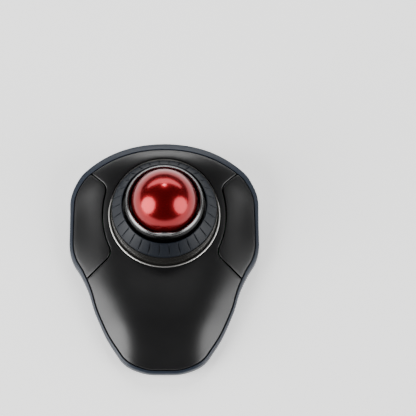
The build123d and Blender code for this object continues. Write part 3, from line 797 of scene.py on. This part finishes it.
# ---------------------------------------------------------------- operators
class MakeFinishes(bpy.types.Operator):
    """Makes every finish, and gives the CAD nodes that stay theirs."""

    bl_idname = "trackball.finishes"
    bl_label = "Finishes"

    def execute(self, context):
        make_finishes(context.scene.trackball_finishes)
        kept = {
            "steel": ["right_hinge_pin", "left_hinge_pin", "pedestal_screws", "battery_springs",
                      "contact_plates", "receiver_plug", "case_screws"],
            "dark": ["right_microswitch", "left_microswitch", "ball_socket", "mode_switch_body",
                     "mode_switch_knob", "dpi_button", "pair_button", "tact_switches",
                     "receiver_cap"],
            "white": ["right_plunger", "left_plunger", "ring_retainer"],
            "ceramic": ["socket_bearings"],
            "lens": ["sensor_lens"],
            "chip": ["sensor_chip", "encoder_sensor", "pcb_components"],
            "board": ["sensor_board", "encoder_board", "main_pcb"],
            "slate": ["battery_door"],
            "cell": ["rear_battery", "front_battery"],
            "rubber": ["rubber_feet"],
        }
        for finish, names in kept.items():
            for name in names:
                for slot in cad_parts[name].material_slots:
                    slot.material = FINISHES[finish]
        return {"FINISHED"}


class MakeCover(bpy.types.Operator):
    """Makes the palm cover: one sculpted skin with the ring's hole and open button windows."""

    bl_idname = "trackball.cover"
    bl_label = "Palm cover"

    def execute(self, context):
        sizes = context.scene.trackball_shell
        cover, _ = cover_and_button(sizes)
        angles = np.linspace(0, 2 * math.pi, 260, endpoint=False)
        hole = np.array([oval(*HOLE_HALF, HOLE_LEAN, a) for a in angles])
        verts, faces = plate(cover, [hole], sizes, lambda x, y: skin(x, y, sizes.dish))
        piece = tidy(new_mesh("palm_cover", verts, faces))
        settle(piece, "housing", "black_plastic", "cover", "top_cover")
        return {"FINISHED"}


class MakeButtons(bpy.types.Operator):
    """Makes the two dished buttons that are parted from the same skin."""

    bl_idname = "trackball.buttons"
    bl_label = "Buttons"

    def execute(self, context):
        sizes = context.scene.trackball_shell
        _, loop = cover_and_button(sizes)
        for side, sign in (("right", 1), ("left", -1)):
            verts, faces = plate(loop * (sign, 1), [], sizes, lambda x, y: skin(x, y, sizes.dish))
            piece = tidy(new_mesh(side + "_finger_button", verts, faces))
            settle(piece, side + "_button_body", "black_plastic", "button", side + "_button")
        return {"FINISHED"}


class MakeBase(bpy.types.Operator):
    """Makes the slate tub: the frame's floor and posts inside a smooth rounded rim."""

    bl_idname = "trackball.base"
    bl_label = "Base and rim"
    rounding = (0.8, 0.4)  # of the rim's outer and inner upper edges
    inner_heights = (2.2, 1.0)  # rows of the rim's inner face near the sole
    wall = (1.7, 2.5)  # the tucked wall's faces, inwards from the plan
    middle = 2.2  # depth that parts the frame's outer face from its inner one
    reach, sole_reach = 3.4, 2.9  # how deep the wall goes, and near the sole

    def execute(self, context):
        sizes = context.scene.trackball_shell
        half = right_flank()
        plan = resampled(np.concatenate([half, half[::-1][1:-1] * (-1, 1)]), 0.8, closed=True)
        steps = np.radians(np.linspace(0, 90, 7))
        rows = [(0, sizes.foot * (1 - math.sin(a)), None, SOLE_Z + sizes.foot * (1 - math.cos(a)))
                for a in steps]
        big, small = self.rounding
        rows += [(0, big * (1 - math.cos(a)), big * (1 - math.sin(a)), None) for a in steps]
        rows += [(1, -small * (1 - math.sin(a)), small * (1 - math.cos(a)), None) for a in steps]
        rows += [(1, 0, None, height) for height in self.inner_heights]
        wide = rim_width(plan)
        loops = []
        for share, inset, drop, height in rows:
            ring = shifted(plan, share * wide + inset, closed=True)
            if height is None:
                z = skin(ring[:, 0], ring[:, 1], sizes.dish) - RIM_DROP - drop
            else:
                z = np.full(len(ring), height)
            loops.append(np.column_stack([ring, z]))
        verts, faces = swept(np.array(loops), closed=True)
        band = tidy(new_mesh("slate_base", verts, faces))
        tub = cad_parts["base_shell"].copy()
        tub.data = tub.data.copy()
        bpy.context.scene.collection.objects.link(tub)
        tub.parent = None
        for key in list(tub.keys()):
            del tub[key]
        self.tuck_in(tub.data, plan)
        band = joined(band, tidy(tub, outward=False))
        settle(band, "housing", "slate_plastic", "slate", "base_shell")
        return {"FINISHED"}

    def tuck_in(self, mesh, plan):
        """Moves the frame's outer wall inside the smooth rim."""
        outer_line, inner_line = (shifted(plan, k, closed=True) for k in self.wall)
        places = np.array([v.co for v in mesh.vertices]) / MM
        within = inside(places[:, :2], plan)
        for vertex, place, contained in zip(mesh.vertices, places, within):
            gaps = plan - place[:2]
            nearest = np.argmin(np.sum(gaps**2, axis=1))
            depth = np.hypot(*gaps[nearest]) * (1 if contained else -1)
            if depth > self.reach or (depth > self.sole_reach and place[2] < 1.2):
                continue
            x, y = (outer_line if depth < self.middle else inner_line)[nearest]
            ceiling = skin(x, y) - 1.2
            vertex.co = Vector((x, y, min(max(place[2], 0.9), ceiling))) * MM


class MakeRing(bpy.types.Operator):
    """Makes the scroll ring: one grooved sector repeated round the ball, and its encoder teeth."""

    bl_idname = "trackball.ring"
    bl_label = "Scroll ring"

    def execute(self, context):
        sizes = context.scene.trackball_ring
        profile = rounded_profile(RING_PROFILE)
        (low, low_blend), (high, high_blend) = GROOVE_LOW, GROOVE_HIGH
        inwards, down = GROOVE_WAY
        cone = np.clip((profile[:, 1] - low) / low_blend, 0, 1)
        cone *= np.clip((high - profile[:, 1]) / high_blend, 0, 1)
        cone *= profile[:, 0] > GROOVE_INNER
        half = 180.0 / sizes.grooves
        fine = sizes.groove_width * np.linspace(-1.6, 1.6, 15)
        degrees = np.concatenate([[-half, -half * 0.6], fine, [half * 0.6, half]])
        rows = []
        for d in degrees:
            depth = sizes.groove_depth * math.exp(-((d / sizes.groove_width) ** 4))
            a = math.radians(d)
            rows.append([round_axis(r - depth * c * inwards, z - depth * c * down, a)
                         for (r, z), c in zip(profile, cone)])
        verts, faces = swept(np.array(rows), closed=False)
        ring = repeated(new_mesh("ring_sector", verts, faces), "grooved_scroll_ring",
                        sizes.grooves, FINISHES["ring"])
        tooth = TOOTH_SHARE / 2 * 360 / sizes.teeth
        rows = [[round_axis(r, z, math.radians(d)) for r, z in TOOTH_OUTLINE]
                for d in np.linspace(-tooth, tooth, 4)]
        verts, faces = swept(np.array(rows), closed=False)
        faces += [(3, 2, 1, 0), (12, 13, 14, 15)]
        teeth = repeated(new_mesh("tooth", verts, faces), "encoder_teeth",
                         sizes.teeth, FINISHES["ring"])
        ring = joined(ring, teeth)
        settle(tidy(ring), "ring_body", "ring_plastic", "ring", "scroll_ring")
        return {"FINISHED"}


class MakeStand(bpy.types.Operator):
    """Makes the ring's dark stand and the bright lip round the cover's hole."""

    bl_idname = "trackball.stand"
    bl_label = "Ring stand and lip"

    def execute(self, context):
        section = rounded_profile(STAND_PROFILE)
        across, along_y = STAND_SPREAD
        rows = []
        for a in np.linspace(0, 2 * math.pi, 240, endpoint=False):
            row = []
            for r, z in section:
                if r < 2 * OVAL_WALL:
                    share = (STAND_TOP - z) / (STAND_TOP - STAND_FOOT)
                    row.append((*oval(STAND_TOP_R + across * share, STAND_TOP_R + along_y * share,
                                      share, a), z))
                else:
                    row.append(round_axis(r, z, a))
            rows.append(row)
        verts, faces = swept(np.array(rows), closed=True)
        settle(tidy(new_mesh("ring_stand", verts, faces)), "housing", "dark_gloss", "stand",
               "ring_pedestal")
        rows = []
        for a in np.linspace(0, 2 * math.pi, 260, endpoint=False):
            x0, y0 = oval(*LIP_HALF, HOLE_LEAN, a)
            out = np.array([x0, y0 - AXIS_Y + HOLE_LEAN])
            out /= np.hypot(*out)
            row = []
            sunk = 0.5 + 0.5 * math.tanh((y0 - AXIS_Y - 6.0) / 4.0)
            z0 = float(skin(x0, y0)) - 0.1 - LIP_SINK * sunk
            for b in np.linspace(0, 2 * math.pi, 12, endpoint=False):
                side = 0.2 + LIP_WIDTH / 2 * math.cos(b)
                height = z0 + LIP_HEIGHT / 2 * math.sin(b)
                row.append((x0 + out[0] * side, y0 + out[1] * side, height))
            rows.append(row)
        verts, faces = swept(np.array(rows), closed=True)
        settle(tidy(new_mesh("bright_lip", verts, faces), 180), "housing", "bright_trim",
               "lip", "trim_ring")
        return {"FINISHED"}


class MakeCollar(bpy.types.Operator):
    """Makes the bright collar round the ball, with its raised tab on the user's side."""

    bl_idname = "trackball.collar"
    bl_label = "Collar"

    def execute(self, context):
        sizes = context.scene.trackball_ring
        plain = rounded_profile(COLLAR_PROFILE)
        rise = np.clip((plain[:, 1] - TAB_FROM) / TAB_BLEND, 0, 1) ** 1.3
        rows = []
        for a in np.linspace(0, 2 * math.pi, 360, endpoint=False):
            off = abs((math.degrees(a) - 270 + 180) % 360 - 180)  # degrees from the user's side
            tab = math.exp(-((off / sizes.tab_width) ** 2))
            rows.append([round_axis(r - 0.1 * tab * lift, z + sizes.tab_rise * tab * lift, a)
                         for (r, z), lift in zip(plain, rise)])
        verts, faces = swept(np.array(rows), closed=True)
        settle(tidy(new_mesh("ball_collar_ring", verts, faces)), "housing", "collar_coat",
               "collar", "ball_collar")
        return {"FINISHED"}


class MakeBall(bpy.types.Operator):
    """Makes the polished ball."""

    bl_idname = "trackball.ball"
    bl_label = "Ball"

    def execute(self, context):
        radius = context.scene.trackball_ring.ball / 2
        steps = 24
        spots = {}
        faces = []
        for axis in range(3):
            for sign in (-1, 1):
                grid = np.tan(np.linspace(-math.pi / 4, math.pi / 4, steps + 1))
                for i in range(steps):
                    for j in range(steps):
                        face = []
                        for u, v in ((i, j), (i + 1, j), (i + 1, j + 1), (i, j + 1)):
                            p = np.roll(np.array([sign, grid[u] * sign, grid[v]]), axis)
                            key = tuple(np.round(p / np.linalg.norm(p), 7))
                            face.append(spots.setdefault(key, len(spots)))
                        faces.append(tuple(face))
        verts = [(x * radius, AXIS_Y + y * radius, BALL_Z + z * radius) for x, y, z in spots]
        settle(tidy(new_mesh("red_ball", verts, faces), 180), "ball_body", "ball_resin", "ball",
               "ball")
        return {"FINISHED"}


class MakeStage(bpy.types.Operator):
    """Makes the floor, the soft lights and the camera."""

    bl_idname = "trackball.stage"
    bl_label = "Stage"

    def execute(self, context):
        stage = context.scene.trackball_stage
        half = FLOOR_HALF
        floor = new_mesh("floor", [(-half, -half, 0), (half, -half, 0), (half, half, 0),
                                   (-half, half, 0)], [(0, 1, 2, 3)])
        sheet = Sheet("floor_finish")
        tint = sheet.mix(sheet.noise(60.0), shade(stage.floor, 0.985), shade(stage.floor, 1.015))
        glow = shade(stage.floor, 1.0)
        floor.data.materials.append(sheet.finish(Base_Color=tint, Roughness=0.9,
                                                 Emission_Color=glow, Emission_Strength=0.6))
        for lamp in LAMPS:
            self.light(*lamp)
        world = bpy.data.worlds.new("studio")
        world.use_nodes = True
        back = world.node_tree.nodes["Background"]
        back.inputs["Color"].default_value = (1.0, 1.0, 1.0, 1)
        back.inputs["Strength"].default_value = 0.03
        context.scene.world = world
        data = bpy.data.cameras.new("camera")
        camera = bpy.data.objects.new("camera", data)
        context.scene.collection.objects.link(camera)
        target = Vector(CAMERA_AIM)
        away = Vector((0, -math.cos(stage.elevation), math.sin(stage.elevation)))
        camera.location = target + away * stage.distance
        camera.rotation_euler = (math.pi / 2 - stage.elevation, 0, 0)
        data.lens = data.sensor_width * stage.distance / stage.span
        data.shift_x = CAMERA_SHIFT
        data.clip_end = 20
        context.scene.camera = camera
        return {"FINISHED"}

    def light(self, name, place, target, size, power):
        """One soft oval lamp aimed at a point."""
        data = bpy.data.lights.new(name, "AREA")
        data.shape = "ELLIPSE"
        data.size, data.size_y = size
        data.energy = power
        lamp = bpy.data.objects.new(name, data)
        lamp.location = place
        aim = Vector(target) - Vector(place)
        lamp.rotation_euler = aim.to_track_quat("-Z", "Y").to_euler()
        bpy.context.scene.collection.objects.link(lamp)


class TrackballPanel(bpy.types.Panel):
    """Lists the steps that build the trackball mouse."""

    bl_idname = "VIEW3D_PT_trackball"
    bl_label = "Trackball mouse"
    bl_space_type = "VIEW_3D"
    bl_region_type = "UI"
    bl_category = "Trackball"

    def draw(self, context):
        scene = context.scene
        for group in (scene.trackball_shell, scene.trackball_ring, scene.trackball_finishes,
                      scene.trackball_stage):
            for key in group.bl_rna.properties.keys():
                if key not in ("rna_type", "name"):
                    self.layout.prop(group, key)
        for step in STEPS:
            self.layout.operator(step.bl_idname)


GROUPS = {"trackball_shell": ShellSizes, "trackball_ring": RingSizes,
          "trackball_finishes": Finishes, "trackball_stage": StageSettings}
STEPS = [MakeFinishes, MakeCover, MakeButtons, MakeBase, MakeRing, MakeStand, MakeCollar,
         MakeBall, MakeStage]


def register():
    for kind in [*GROUPS.values(), *STEPS, TrackballPanel]:
        bpy.utils.register_class(kind)
    for name, kind in GROUPS.items():
        setattr(bpy.types.Scene, name, PointerProperty(type=kind))


def unregister():
    for name in GROUPS:
        delattr(bpy.types.Scene, name)
    for kind in reversed([*GROUPS.values(), *STEPS, TrackballPanel]):
        bpy.utils.unregister_class(kind)


def main():
    register()
    for step in STEPS:
        family, name = step.bl_idname.split(".")
        getattr(getattr(bpy.ops, family), name)()


if __name__ == "__main__":
    main()
